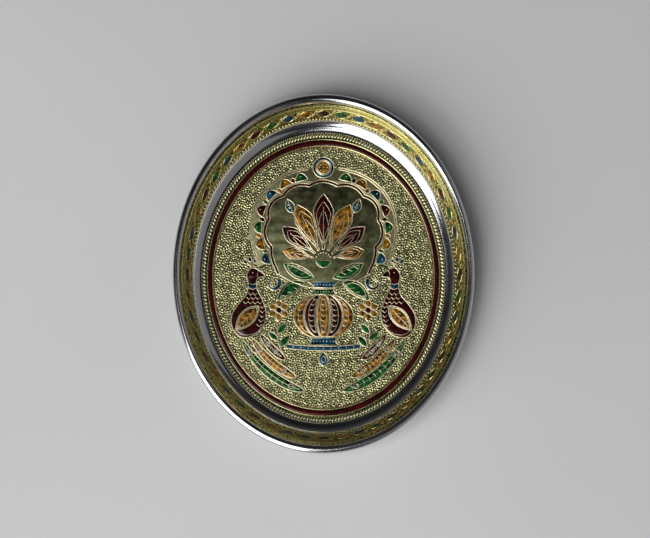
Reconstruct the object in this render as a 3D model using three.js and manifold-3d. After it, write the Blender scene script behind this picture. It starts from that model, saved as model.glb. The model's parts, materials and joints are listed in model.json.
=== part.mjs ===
// Enamelled plate: an oval dish of polished steel sheet with a rolled rim. A gilt embossed panel is glued to
// its base and a gilt embossed band to its wall, and flat fills of coloured enamel lie on the panel.
// Millimetres, +Z up, long axis along Y. The origin is under the middle of the base.
// Every radius is measured along Y. Rings are drawn round and then narrowed to the oval.

import * as THREE from 'three';
import { mergeVertices } from 'three/addons/utils/BufferGeometryUtils.js';
import Module from 'manifold-3d';

const wasm = await Module();
wasm.setup();

// Dish. Its flat base ends where the cove starts, and the flare is how far the rim stands out past that.
const LENGTH = 220;
const WIDTH = 183;
const SHEET = 0.8;
const FLARE = 20;
const COVE_RADIUS = 7.6;
const WALL_ANGLE = 63.4;
const BEAD_RADIUS = 2.7;
const BEAD_END_ANGLE = -145;

// Glue films, and the clearance of layers that lie on the curved wall
const PANEL_FILM = 0.1;
const BAND_FILM = 0.1;
const FILM_MARGIN = 0.6;
const LAYER_CLEARANCE = 0.05;

// Centre panel, from its edge inwards: rope border, outer ridge, enamel groove, inner ridge, grained ground
const PANEL_SHEET = 0.4;
const PANEL_MARGIN = 0.4;
const ROPE_WIDTH = 3.7;
const ROPE_HEIGHT = 0.9;
const OUTER_RIDGE_WIDTH = 1.6;
const GROOVE_WIDTH = 3.3;
const INNER_RIDGE_WIDTH = 2.6;
const RIDGE_HEIGHT = 0.5;
const ENAMEL_CLEARANCE = 0.15;
const RING_ENAMEL_EDGE = 0.25;
const RING_ENAMEL_CROWN = 0.15;

// Wall band, and its row of raised leaf cells
const BAND_SHEET = 0.3;
const BAND_FOOT_MARGIN = 0.3;
const BAND_TOP_MARGIN = 2.0;
const BORDER_WIDTH = 1.8;
const BORDER_HEIGHT = 0.35;
const CELL_COUNT = 48;
const CELL_LENGTH = 7.6;
const CELL_HEIGHT = 5;
const CELL_RISE = 0.35;
const CELL_SINK = 0.12;
const CELL_TOP_SHARE = 0.62;
const CELL_DROP = 1.05;

// Enamel fills
const FILL_HEIGHT = 0.35;
const LINE_GAP = 0.8;

// The centre design is fitted to the ground of the panel, this far inside its inner ridge
const DESIGN_MARGIN = 4.25;

const RING_STEPS = 72;
const COVE_STEPS = 5;
const BEAD_STEPS = 12;
const CURL_STEPS = 8;
const ROPE_STEPS = 6;
const RIDGE_STEPS = 4;
const CELL_STEPS = 8;

const wallAngle = THREE.MathUtils.degToRad(WALL_ANGLE);
const upWall = new THREE.Vector2(Math.cos(wallAngle), Math.sin(wallAngle));
const offWall = new THREE.Vector2(-Math.sin(wallAngle), Math.cos(wallAngle));
const flatRadius = LENGTH / 2 - FLARE;
const coveCentre = new THREE.Vector2(flatRadius, SHEET + COVE_RADIUS);
const wallFoot = coveCentre.clone().addScaledVector(offWall, -COVE_RADIUS);
const beadRadial = LENGTH / 2 - BEAD_RADIUS;
const wallLength = (beadRadial + BEAD_RADIUS * offWall.x - wallFoot.x) / upWall.x;
const wallTop = wallFoot.clone().addScaledVector(upWall, wallLength);
const beadCentre = wallTop.clone().addScaledVector(offWall, -BEAD_RADIUS);

const panelUnder = SHEET + PANEL_FILM;
const ground = panelUnder + PANEL_SHEET;
const panelRadius = flatRadius - PANEL_MARGIN;
const ropeInner = panelRadius - ROPE_WIDTH;
const grooveOuter = ropeInner - OUTER_RIDGE_WIDTH;
const grooveInner = grooveOuter - GROOVE_WIDTH;
const groundRadius = grooveInner - INNER_RIDGE_WIDTH;
const ovalRatio = WIDTH / LENGTH;

const COLOURS = {
  steel: { color: 0xc4c6c8, roughness: 0.08, metalness: 1 },
  champagne: { color: 0xc2ba84, roughness: 0.35, metalness: 1 },
  gold: { color: 0xd2b45a, roughness: 0.3, metalness: 1 },
  glue: { color: 0xd8d2b8, roughness: 0.6, metalness: 0 },
  maroon: { color: 0x5a0c12, roughness: 0.12, metalness: 0 },
  orange: { color: 0xd9801a, roughness: 0.12, metalness: 0 },
  green: { color: 0x0f7a34, roughness: 0.12, metalness: 0 },
  blue: { color: 0x1f6f9e, roughness: 0.12, metalness: 0 },
};

const plate = new THREE.Group();

function add(name, geometry, finish) {
  const mesh = new THREE.Mesh(geometry, new THREE.MeshStandardMaterial(COLOURS[finish]));
  mesh.name = name;
  plate.add(mesh);
}

// Outline points on a circular or elliptical arc
function arc(centre, radius, fromDegrees, toDegrees, steps, rise = radius) {
  const points = [];
  for (let i = 0; i <= steps; i += 1) {
    const angle = THREE.MathUtils.degToRad(fromDegrees + (toDegrees - fromDegrees) * i / steps);
    points.push(new THREE.Vector2(centre.x + radius * Math.cos(angle), centre.y + rise * Math.sin(angle)));
  }
  return points;
}

// A ring or disc of the given section, turned round Z and narrowed to the oval
function ovalTurn(section) {
  const geometry = new THREE.LatheGeometry(section, RING_STEPS);
  geometry.rotateX(Math.PI / 2);
  geometry.scale(ovalRatio, 1, 1);
  return geometry;
}

// A point of the wall's section: so far up the wall from its foot, and so far off its inner face
function onWall(up, off) {
  return wallFoot.clone().addScaledVector(upWall, up).addScaledVector(offWall, off);
}

function asSolid(geometry) {
  const bare = geometry.clone();
  bare.deleteAttribute('normal');
  bare.deleteAttribute('uv');
  const merged = mergeVertices(bare);
  return new wasm.Manifold(new wasm.Mesh({
    numProp: 3,
    vertProperties: new Float32Array(merged.attributes.position.array),
    triVerts: new Uint32Array(merged.index.array),
  }));
}

function asGeometry(solid) {
  const mesh = solid.getMesh();
  const geometry = new THREE.BufferGeometry();
  geometry.setAttribute('position', new THREE.BufferAttribute(mesh.vertProperties, 3));
  geometry.setIndex(new THREE.BufferAttribute(mesh.triVerts, 1));
  geometry.computeVertexNormals();
  return geometry;
}

function dish() {
  return ovalTurn([
    new THREE.Vector2(0, 0),
    ...arc(coveCentre, COVE_RADIUS + SHEET, -90, WALL_ANGLE - 90, COVE_STEPS),
    ...arc(beadCentre, BEAD_RADIUS - SHEET, WALL_ANGLE + 90, BEAD_END_ANGLE, CURL_STEPS),
    ...arc(beadCentre, BEAD_RADIUS, BEAD_END_ANGLE, WALL_ANGLE + 90, BEAD_STEPS),
    ...arc(coveCentre, COVE_RADIUS, WALL_ANGLE - 90, -90, COVE_STEPS),
    new THREE.Vector2(0, SHEET),
  ]);
}

function panelFilm() {
  const radius = panelRadius - FILM_MARGIN;
  return ovalTurn([
    new THREE.Vector2(0, SHEET),
    new THREE.Vector2(radius, SHEET),
    new THREE.Vector2(radius, panelUnder),
    new THREE.Vector2(0, panelUnder),
  ]);
}

// Half-round section of a ridge that stands on the ground between two radii, drawn from its outer foot
function ridge(inner, outer, height, steps) {
  const middle = new THREE.Vector2((inner + outer) / 2, ground);
  return arc(middle, (outer - inner) / 2, 0, 180, steps, height);
}

function centrePanel() {
  return ovalTurn([
    new THREE.Vector2(0, panelUnder),
    new THREE.Vector2(panelRadius, panelUnder),
    ...ridge(ropeInner, panelRadius, ROPE_HEIGHT, ROPE_STEPS),
    ...ridge(grooveOuter, ropeInner, RIDGE_HEIGHT, RIDGE_STEPS).slice(1),
    ...ridge(groundRadius, grooveInner, RIDGE_HEIGHT, RIDGE_STEPS),
    new THREE.Vector2(0, ground),
  ]);
}

function ringEnamel() {
  const inner = grooveInner + ENAMEL_CLEARANCE;
  const outer = grooveOuter - ENAMEL_CLEARANCE;
  const edge = ground + RING_ENAMEL_EDGE;
  return ovalTurn([
    new THREE.Vector2(inner, ground),
    new THREE.Vector2(outer, ground),
    new THREE.Vector2(outer, edge),
    new THREE.Vector2((inner + outer) / 2, edge + RING_ENAMEL_CROWN),
    new THREE.Vector2(inner, edge),
    new THREE.Vector2(inner, ground),
  ]);
}

const bandFoot = BAND_FOOT_MARGIN;
const bandTop = wallLength - BAND_TOP_MARGIN;
const bandUnder = LAYER_CLEARANCE + BAND_FILM + LAYER_CLEARANCE;
const bandFace = bandUnder + BAND_SHEET;

function bandFilm() {
  const foot = bandFoot + FILM_MARGIN;
  const top = bandTop - FILM_MARGIN;
  return ovalTurn([
    onWall(foot, LAYER_CLEARANCE),
    onWall(top, LAYER_CLEARANCE),
    onWall(top, LAYER_CLEARANCE + BAND_FILM),
    onWall(foot, LAYER_CLEARANCE + BAND_FILM),
    onWall(foot, LAYER_CLEARANCE),
  ]);
}

// One leaf-shaped boss on the wall band, drawn round: its foot is sunk in the band and its top is smaller.
// It sits a little below the middle of the band.
function leafCell(index) {
  const turn = index * 2 * Math.PI / CELL_COUNT;
  const up = (bandFoot + bandTop) / 2 - CELL_DROP;
  const middleRadius = onWall(up, bandFace).x;
  const positions = [];
  for (const [share, off] of [[1, bandFace - CELL_SINK], [CELL_TOP_SHARE, bandFace + CELL_RISE]]) {
    for (let i = 0; i < CELL_STEPS; i += 1) {
      const angle = i * 2 * Math.PI / CELL_STEPS;
      const across = share * CELL_HEIGHT / 2 * Math.sin(angle) * Math.abs(Math.sin(angle));
      const along = share * CELL_LENGTH / 2 * Math.cos(angle);
      const point = onWall(up + across, off);
      const around = turn + along / middleRadius;
      positions.push(point.x * Math.cos(around), point.x * Math.sin(around), point.y);
    }
  }
  const faces = [];
  for (let i = 0; i < CELL_STEPS; i += 1) {
    const next = (i + 1) % CELL_STEPS;
    faces.push(i, CELL_STEPS + next, next, i, CELL_STEPS + i, CELL_STEPS + next);
  }
  for (let i = 1; i + 1 < CELL_STEPS; i += 1) {
    faces.push(0, i, i + 1, CELL_STEPS, CELL_STEPS + i + 1, CELL_STEPS + i);
  }
  const geometry = new THREE.BufferGeometry();
  geometry.setAttribute('position', new THREE.Float32BufferAttribute(positions, 3));
  geometry.setIndex(faces);
  geometry.scale(ovalRatio, 1, 1);
  return geometry;
}

function wallBand() {
  const borderTop = bandTop - BORDER_WIDTH;
  const borderFoot = bandFoot + BORDER_WIDTH;
  let band = asSolid(ovalTurn([
    onWall(bandFoot, bandUnder),
    onWall(bandTop, bandUnder),
    onWall(bandTop, bandFace),
    onWall((bandTop + borderTop) / 2, bandFace + BORDER_HEIGHT),
    onWall(borderTop, bandFace),
    onWall(borderFoot, bandFace),
    onWall((bandFoot + borderFoot) / 2, bandFace + BORDER_HEIGHT),
    onWall(bandFoot, bandFace),
    onWall(bandFoot, bandUnder),
  ]));
  for (let i = 0; i < CELL_COUNT; i += 1) {
    band = band.add(asSolid(leafCell(i)));
  }
  return asGeometry(band);
}

add('dish', dish(), 'steel');
add('panel_adhesive', panelFilm(), 'glue');
add('centre_panel', centrePanel(), 'champagne');
add('ring_enamel', ringEnamel(), 'maroon');
add('band_adhesive', bandFilm(), 'glue');
add('wall_band', wallBand(), 'gold');

// Outlines of the centre design. A petal's edges are curves whose handles stand off by a share of its width.
const CURVE_STEPS = 7;
const LINE_STEPS = 10;
const LEAST_HALF_WIDTH = 0.05;
const PETAL_STAND_OFF = 2 / 3;
const PETAL_HANDLES = [0.55, 1.45];
const fills = [];

function at(x, y) {
  return new THREE.Vector2(x, y);
}

function disc(centre, radius, steps) {
  return new THREE.Shape(arc(centre, radius, 0, 360, steps).slice(0, -1));
}

// A petal from its base to its tip, widest at a share of its length, and bowed to one side
function petal(base, tip, width, widest, bow = 0) {
  const length = base.distanceTo(tip);
  const along = tip.clone().sub(base).divideScalar(length);
  const across = at(-along.y, along.x);
  const handles = (side) => PETAL_HANDLES.map((share) => base.clone()
    .addScaledVector(along, share * widest * length)
    .addScaledVector(across, side * width * PETAL_STAND_OFF + bow));
  const [nearRight, farRight] = handles(-1);
  const [nearLeft, farLeft] = handles(1);
  const shape = new THREE.Shape();
  shape.moveTo(base.x, base.y);
  shape.bezierCurveTo(nearRight.x, nearRight.y, farRight.x, farRight.y, tip.x, tip.y);
  shape.bezierCurveTo(farLeft.x, farLeft.y, nearLeft.x, nearLeft.y, base.x, base.y);
  return shape;
}

// Points on a straight way, both ends included
function straight(from, to) {
  const points = [];
  for (let i = 0; i <= LINE_STEPS; i += 1) {
    points.push(from.clone().lerp(to, i / LINE_STEPS));
  }
  return points;
}

// A strip along a line of points. Its half width is a function of the share of the way, and may end at 0.
function ribbon(line, halfWidth) {
  const sides = [[], []];
  line.forEach((point, i) => {
    const before = line[Math.max(i - 1, 0)];
    const after = line[Math.min(i + 1, line.length - 1)];
    const into = point.clone().sub(before).normalize();
    const out = after.clone().sub(point).normalize();
    const along = into.add(out).normalize();
    const across = at(-along.y, along.x);
    const half = Math.max(halfWidth(i / (line.length - 1)), 0);
    sides[0].push(point.clone().addScaledVector(across, half));
    if (half > LEAST_HALF_WIDTH) {
      sides[1].unshift(point.clone().addScaledVector(across, -half));
    }
  });
  return new THREE.Shape([...sides[0], ...sides[1]]);
}

// A closed smooth outline through a few points
function smooth(points, steps) {
  const corners = points.map(([x, y]) => new THREE.Vector3(x, y, 0));
  const curve = new THREE.CatmullRomCurve3(corners, true, 'centripetal');
  return new THREE.Shape(curve.getPoints(steps).slice(0, -1).map((p) => at(p.x, p.y)));
}

function mirrored(shape) {
  const flip = (points) => points.map((p) => at(-p.x, p.y)).reverse();
  const drawn = shape.extractPoints(CURVE_STEPS);
  const copy = new THREE.Shape(flip(drawn.shape));
  copy.holes = drawn.holes.map((hole) => new THREE.Path(flip(hole)));
  return copy;
}

function addFill(name, shape, colour) {
  fills.push({ name, shape, colour });
}

function addPair(name, shape, colour) {
  addFill(`${name}_right`, shape, colour);
  addFill(`${name}_left`, mirrored(shape), colour);
}

// Vase: a pot of five gores that is cut level above and below, with its foot, shoulder and collar
const POT = at(0, -23.8);
const POT_HALF_WIDTH = 18.5;
const POT_HALF_HEIGHT = 14;
const POT_CUT = 0.9;
const GORE_LINES = [-1, -0.64, -0.22, 0.22, 0.64, 1];
const FOOT_HEIGHT = 4.4;
const FOOT_HALF_WIDTH = 9.5;
const SHOULDER_HEIGHT = 3.2;
const COLLAR_HEIGHT = 3.6;
const COLLAR_HALF_WIDTH = 9.6;
const NECK_HALF_WIDTH = 6;
const potFoot = POT.y - POT_CUT * POT_HALF_HEIGHT;
const potHead = POT.y + POT_CUT * POT_HALF_HEIGHT;
const footTop = potFoot - LINE_GAP;
const shoulderFoot = potHead + LINE_GAP;
const collarFoot = shoulderFoot + SHOULDER_HEIGHT + LINE_GAP;
const collarTop = collarFoot + COLLAR_HEIGHT;

function potWidth(height) {
  return POT_HALF_WIDTH * Math.sqrt(1 - ((height - POT.y) / POT_HALF_HEIGHT) ** 2);
}

function gore(left, right) {
  const sides = [[], []];
  for (const { y } of straight(at(0, potFoot), at(0, potHead))) {
    sides[0].push(at(right * potWidth(y) - LINE_GAP / 2, y));
    sides[1].unshift(at(left * potWidth(y) + LINE_GAP / 2, y));
  }
  return new THREE.Shape([...sides[0], ...sides[1]]);
}

// A level band of the vase whose flanks curve in to a waist
function flank(bottom, top, bottomHalf, topHalf, waist) {
  const shape = new THREE.Shape();
  shape.moveTo(-bottomHalf, bottom);
  shape.lineTo(bottomHalf, bottom);
  shape.quadraticCurveTo(waist, (bottom + top) / 2, topHalf, top);
  shape.lineTo(-topHalf, top);
  shape.quadraticCurveTo(-waist, (bottom + top) / 2, -bottomHalf, bottom);
  return shape;
}

for (let i = 0; i + 1 < GORE_LINES.length; i += 1) {
  addFill(`vase_gore_${i + 1}`, gore(GORE_LINES[i], GORE_LINES[i + 1]), i % 2 ? 'maroon' : 'orange');
}
const potEnd = potWidth(potFoot);
const shoulderTop = shoulderFoot + SHOULDER_HEIGHT;
const vaseFoot = flank(footTop - FOOT_HEIGHT, footTop, FOOT_HALF_WIDTH, potEnd, NECK_HALF_WIDTH);
const vaseShoulder = flank(shoulderFoot, shoulderTop, potEnd, NECK_HALF_WIDTH, NECK_HALF_WIDTH);
const vaseCollar = flank(collarFoot, collarTop, NECK_HALF_WIDTH, COLLAR_HALF_WIDTH, NECK_HALF_WIDTH);
addFill('vase_foot', vaseFoot, 'blue');
addFill('vase_shoulder', vaseShoulder, 'green');
addFill('vase_collar', vaseCollar, 'blue');

// Lotus of seven petals in a fan, each kept within its own sector, over a half-round calyx
const LOTUS_STALK = 13.5;
const LOTUS_HEART = 6.5;
const LOTUS_FAN = 25.5;
const LOTUS_REACH = [41, 38, 32.5, 25.5];
const LOTUS_WIDTH = [12.5, 11.6, 9.8, 8];
const LOTUS_SHARPNESS = 1.45;
const LOTUS_STEM_SHARE = 0.1;
const CALYX_RADIUS = 4.6;
const CALYX_ARC = [185, 355];
const CALYX_STEPS = 12;
const lotus = at(0, collarTop + LOTUS_STALK);
const sectorSlope = Math.tan(THREE.MathUtils.degToRad(LOTUS_FAN / 2));
const lotusHalfWidth = Math.max(
  ...LOTUS_REACH.map((reach, i) => reach * Math.sin(THREE.MathUtils.degToRad(i * LOTUS_FAN))),
);
for (let i = -3; i <= 3; i += 1) {
  const angle = THREE.MathUtils.degToRad(90 - i * LOTUS_FAN);
  const way = at(Math.cos(angle), Math.sin(angle));
  const reach = LOTUS_REACH[Math.abs(i)];
  const half = LOTUS_WIDTH[Math.abs(i)] / 2;
  const line = straight(
    lotus.clone().addScaledVector(way, LOTUS_HEART),
    lotus.clone().addScaledVector(way, reach),
  );
  const halfWidth = (share) => Math.min(
    half * Math.sin(Math.PI * Math.max(share, LOTUS_STEM_SHARE) ** LOTUS_SHARPNESS),
    (LOTUS_HEART + (reach - LOTUS_HEART) * share) * sectorSlope - LINE_GAP / 2,
  );
  addFill(`lotus_petal_${i + 4}`, ribbon(line, halfWidth), i % 2 ? 'orange' : 'maroon');
}
addFill('lotus_calyx', new THREE.Shape(arc(lotus, CALYX_RADIUS, ...CALYX_ARC, CALYX_STEPS)), 'green');

// Arch of nine foils round the lotus, drawn from its left foot over its head to its right foot
const ARCH_HEADROOM = 5.6;
const ARCH_SIDE_ROOM = 8.74;
const ARCH_WAIST = 19.3;
const ARCH_FOOT = at(27.5, 2);
const ARCH_FOILS = 9;
const ARCH_FOIL_RISE = 2;
const ARCH_BAND = 1.7;
const ARCH_STEPS = 72;
const FOOT_LEAN = 0.5;
const FOOT_HANDLE = 10;
const WAIST_HANDLE = 12;
const SHOULDER_HANDLE = 18;
const HEAD_HANDLE = 20;
const archSide = at(lotusHalfWidth + ARCH_SIDE_ROOM, lotus.y + ARCH_WAIST);
const archHead = at(0, lotus.y + LOTUS_REACH[0] + ARCH_HEADROOM);
const leftOf = (point) => at(-point.x, point.y);
const lowerBends = [
  at(archSide.x, archSide.y - WAIST_HANDLE),
  at(ARCH_FOOT.x - FOOT_LEAN, ARCH_FOOT.y + FOOT_HANDLE),
];
const upperBends = [
  at(HEAD_HANDLE, archHead.y),
  at(archSide.x, archSide.y + SHOULDER_HANDLE),
];
const archPath = new THREE.CurvePath();
archPath.add(new THREE.CubicBezierCurve(
  leftOf(ARCH_FOOT), leftOf(lowerBends[1]), leftOf(lowerBends[0]), leftOf(archSide),
));
archPath.add(new THREE.CubicBezierCurve(
  leftOf(archSide), leftOf(upperBends[1]), leftOf(upperBends[0]), archHead,
));
archPath.add(new THREE.CubicBezierCurve(archHead, upperBends[0], upperBends[1], archSide));
archPath.add(new THREE.CubicBezierCurve(archSide, lowerBends[0], lowerBends[1], ARCH_FOOT));

// A point beside the arch's middle line, at a share of the way along it
function besideArch(share, offset) {
  const along = archPath.getTangentAt(share);
  return archPath.getPointAt(share).addScaledVector(at(-along.y, along.x), offset);
}

const archLine = [];
for (let i = 0; i <= ARCH_STEPS; i += 1) {
  const share = i / ARCH_STEPS;
  archLine.push(besideArch(share, ARCH_FOIL_RISE * Math.abs(Math.sin(share * ARCH_FOILS * Math.PI))));
}
addFill('arch_band', ribbon(archLine, () => ARCH_BAND / 2), 'maroon');

// Round medallion over the head of the arch
const MEDALLION_RADIUS = 6.4;
const MEDALLION_RING = 1.8;
const MEDALLION_GAP = 1.2;
const MEDALLION_STEPS = 24;
const archCrown = archHead.y + ARCH_FOIL_RISE + ARCH_BAND / 2;
const medallion = at(0, archCrown + MEDALLION_GAP + MEDALLION_RADIUS);
const medallionRing = disc(medallion, MEDALLION_RADIUS, MEDALLION_STEPS);
medallionRing.holes.push(disc(medallion, MEDALLION_RADIUS - MEDALLION_RING, MEDALLION_STEPS));
addFill('medallion_ring', medallionRing, 'blue');
const medallionHeart = MEDALLION_RADIUS - MEDALLION_RING - LINE_GAP;
addFill('medallion_disc', disc(medallion, medallionHeart, MEDALLION_STEPS), 'orange');

// Scallops round the outside of the arch, in turn blue, orange, green and maroon
const SCALLOPS_A_SIDE = 7;
const SCALLOP_SIZE = 7.8;
const SCALLOP_RISE = 5;
const SCALLOP_BEND = at(0.85, 0.8);
const SCALLOP_FIRST = 0.075;
const SCALLOP_LAST = 0.42;
const SCALLOP_COLOURS = ['blue', 'orange', 'green', 'maroon'];

function scallop(share) {
  const along = archPath.getTangentAt(share);
  const outward = at(-along.y, along.x);
  const base = besideArch(share, ARCH_FOIL_RISE + ARCH_BAND / 2 + LINE_GAP);
  const corner = (side, rise) => base.clone()
    .addScaledVector(along, side * SCALLOP_SIZE / 2)
    .addScaledVector(outward, rise * SCALLOP_RISE);
  const [start, tip, end] = [corner(1, 0), corner(0, 1), corner(-1, 0)];
  const startBend = corner(SCALLOP_BEND.x, SCALLOP_BEND.y);
  const endBend = corner(-SCALLOP_BEND.x, SCALLOP_BEND.y);
  const shape = new THREE.Shape();
  shape.moveTo(start.x, start.y);
  shape.quadraticCurveTo(startBend.x, startBend.y, tip.x, tip.y);
  shape.quadraticCurveTo(endBend.x, endBend.y, end.x, end.y);
  shape.closePath();
  return shape;
}

for (let i = 0; i < SCALLOPS_A_SIDE; i += 1) {
  const share = SCALLOP_FIRST + (SCALLOP_LAST - SCALLOP_FIRST) * i / (SCALLOPS_A_SIDE - 1);
  const colour = SCALLOP_COLOURS[i % SCALLOP_COLOURS.length];
  addFill(`scallop_left_${i + 1}`, scallop(share), colour);
  addFill(`scallop_right_${i + 1}`, scallop(1 - share), colour);
}

// Scrolls that curl outwards below the feet of the arch
const SCROLL_RADIUS = 4.1;
const SCROLL_HALF_WIDTH = 1.3;
const SCROLL_START = 140;
const SCROLL_TURN = 310;
const SCROLL_STEPS = 20;
const SCROLL_OUTWARD = 0.75;
const SCROLL_CLOSING = 0.5;
const SCROLL_TAPER = 0.75;
const scrollCentre = ARCH_FOOT.clone().add(at(SCROLL_RADIUS * SCROLL_OUTWARD, -SCROLL_RADIUS - 2 * LINE_GAP));
const scrollLine = [];
for (let i = 0; i <= SCROLL_STEPS; i += 1) {
  const share = i / SCROLL_STEPS;
  const angle = THREE.MathUtils.degToRad(SCROLL_START + SCROLL_TURN * share);
  const reach = SCROLL_RADIUS * (1 - SCROLL_CLOSING * share);
  scrollLine.push(scrollCentre.clone().add(at(reach * Math.cos(angle), reach * Math.sin(angle))));
}
const scrollHalfWidth = (share) => SCROLL_HALF_WIDTH * (1 - SCROLL_TAPER * share);
addPair('scroll', ribbon(scrollLine, scrollHalfWidth), 'blue');

// Buds beside the lotus, and leaves that spring from the collar of the vase
const BUD = { base: at(18.8, 29.1), tip: at(22.2, 37.7), width: 5.4, widest: 0.4 };
const UPPER_LEAF = { base: at(5.6, 2.4), tip: at(24.4, 11.4), width: 8, widest: 0.5, bow: -1.2 };
const LOWER_LEAF = { base: at(11.4, 0), tip: at(28.4, -11.6), width: 8, widest: 0.45, bow: 2 };

function leaf(stem, { base, tip, width, widest, bow }) {
  return petal(base.clone().add(stem), tip.clone().add(stem), width, widest, bow);
}

const collar = at(0, collarTop);
addPair('bud', leaf(lotus, BUD), 'blue');
addPair('leaf_upper', leaf(collar, UPPER_LEAF), 'green');
addPair('leaf_lower', leaf(collar, LOWER_LEAF), 'green');

// Peacocks that face the vase, each with a wing set in its body and three tail feathers along the ring
const WING_BASE = at(40.6, -18.6);
const WING_TIP = at(52.6, -31.4);
const WING_WIDTH = 7.6;
const WING_WIDEST = 0.45;
const WING_END_GAP = 1.9 * LINE_GAP;
const PEACOCK_STEPS = 56;
const PEACOCK_OUTLINE = [
  [35.6, 0.8], [39.4, 4.4], [43.6, 5.8], [46.6, 2],
  [45.8, -4.6], [47, -10.6], [52, -16.8], [55.8, -23.8],
  [55.4, -31], [50.4, -36.6], [42.8, -35.8], [36.8, -30],
  [35, -21.4], [37.6, -13], [40.6, -6.4], [40.2, -0.6],
];
const peacock = smooth(PEACOCK_OUTLINE, PEACOCK_STEPS);
const wingWay = WING_TIP.clone().sub(WING_BASE).normalize();
const wingRoom = petal(
  WING_BASE.clone().addScaledVector(wingWay, -WING_END_GAP),
  WING_TIP.clone().addScaledVector(wingWay, WING_END_GAP),
  WING_WIDTH + 2 * LINE_GAP,
  WING_WIDEST,
);
peacock.holes.push(new THREE.Path(wingRoom.getPoints(CURVE_STEPS).slice(0, -1)));
addPair('peacock_body', peacock, 'maroon');
addPair('peacock_wing', petal(WING_BASE, WING_TIP, WING_WIDTH, WING_WIDEST), 'orange');

// Tail feathers: each follows a smaller copy of the tail's oval from its root to its tip, and both its ends
// are rounded. Root and tip are in degrees below the level.
const TAIL_OVAL = at(65.2, 78.4);
const FEATHER_STEPS = 14;
const FEATHER_SWELL = 2.4;
const FEATHER_ROOT_SHARPNESS = 12;
const FEATHER_TIP_SHARPNESS = 7;
const OUTER_FEATHER = { share: 0.905, root: 32.5, tip: 79, halfWidth: 2.8 };
const MIDDLE_FEATHER = { share: 0.82, root: 35.5, tip: 72, halfWidth: 2.6 };
const INNER_FEATHER = { share: 0.735, root: 37, tip: 61, halfWidth: 2.3 };

function feather({ share, root, tip, halfWidth }) {
  const line = [];
  for (let i = 0; i <= FEATHER_STEPS; i += 1) {
    const angle = THREE.MathUtils.degToRad(root + (tip - root) * i / FEATHER_STEPS);
    line.push(at(share * TAIL_OVAL.x * Math.cos(angle), -share * TAIL_OVAL.y * Math.sin(angle)));
  }
  const rounding = (way) => Math.sqrt(
    (1 - way ** FEATHER_TIP_SHARPNESS) * (1 - (1 - way) ** FEATHER_ROOT_SHARPNESS),
  );
  return ribbon(line, (way) => halfWidth * rounding(way) * (1 + Math.sin(way * FEATHER_SWELL)) / 2);
}

addPair('tail_outer', feather(OUTER_FEATHER), 'green');
addPair('tail_middle', feather(MIDDLE_FEATHER), 'orange');
addPair('tail_inner', feather(INNER_FEATHER), 'maroon');

// Sagging bar under the vase, with a drop hanging from its middle
const BAR_HALF_LENGTH = 22.5;
const BAR_SAG = 1.4;
const BAR_HALF_WIDTH = 1.3;
const TASSEL_LENGTH = 8.5;
const TASSEL_WIDTH = 5.4;
const TASSEL_WIDEST = 0.6;
const barMiddle = footTop - FOOT_HEIGHT - LINE_GAP - BAR_HALF_WIDTH;
const barLine = straight(at(-BAR_HALF_LENGTH, barMiddle), at(BAR_HALF_LENGTH, barMiddle));
for (const point of barLine) {
  point.y += BAR_SAG * ((point.x / BAR_HALF_LENGTH) ** 2);
}
const tasselTop = at(0, barMiddle - BAR_HALF_WIDTH - LINE_GAP);
const tasselTip = at(0, tasselTop.y - TASSEL_LENGTH);
addFill('base_bar', ribbon(barLine, () => BAR_HALF_WIDTH), 'blue');
addFill('tassel', petal(tasselTop, tasselTip, TASSEL_WIDTH, TASSEL_WIDEST), 'blue');

// The design is scaled as one drawing, so that its farthest point keeps its margin from the inner ridge
const reaches = fills.flatMap(({ shape }) => shape.extractPoints(CURVE_STEPS).shape)
  .map((point) => Math.hypot(point.x / ovalRatio, point.y));
const designScale = (groundRadius - DESIGN_MARGIN) / Math.max(...reaches);
for (const { name, shape, colour } of fills) {
  const geometry = new THREE.ExtrudeGeometry(shape, {
    depth: FILL_HEIGHT,
    bevelEnabled: false,
    curveSegments: CURVE_STEPS,
  });
  geometry.scale(designScale, designScale, 1);
  geometry.translate(0, 0, ground);
  add(`enamel_${name}`, geometry, colour);
}

export default plate;
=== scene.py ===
import json
import math

import bpy
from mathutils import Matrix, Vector


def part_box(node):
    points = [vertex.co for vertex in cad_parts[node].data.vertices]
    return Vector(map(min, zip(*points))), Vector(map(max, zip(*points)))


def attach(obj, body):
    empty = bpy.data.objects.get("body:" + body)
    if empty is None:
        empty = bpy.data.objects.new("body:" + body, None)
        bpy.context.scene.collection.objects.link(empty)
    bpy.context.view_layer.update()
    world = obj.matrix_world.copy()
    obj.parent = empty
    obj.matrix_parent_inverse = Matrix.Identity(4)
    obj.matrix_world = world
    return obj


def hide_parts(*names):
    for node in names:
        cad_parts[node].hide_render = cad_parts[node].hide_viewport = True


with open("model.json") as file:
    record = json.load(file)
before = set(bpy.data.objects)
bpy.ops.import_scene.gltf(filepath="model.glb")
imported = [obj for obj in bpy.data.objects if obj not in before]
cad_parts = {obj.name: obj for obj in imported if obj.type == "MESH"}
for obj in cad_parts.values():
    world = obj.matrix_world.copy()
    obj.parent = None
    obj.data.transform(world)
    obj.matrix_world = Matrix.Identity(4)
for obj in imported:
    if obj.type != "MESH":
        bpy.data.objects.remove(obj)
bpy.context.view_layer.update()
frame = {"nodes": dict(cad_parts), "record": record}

# Enamelled plate: the looks. Sizes are in millimetres and become metres through MM. Rings are drawn round,
# with radii along Y, and then narrowed to the oval, as the solids are.

MM = 0.001
_, dish_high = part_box("dish")
panel_low, panel_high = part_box("centre_panel")
OVAL = dish_high.x / dish_high.y
HALF_LENGTH = round(dish_high.y / MM, 1)

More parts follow.
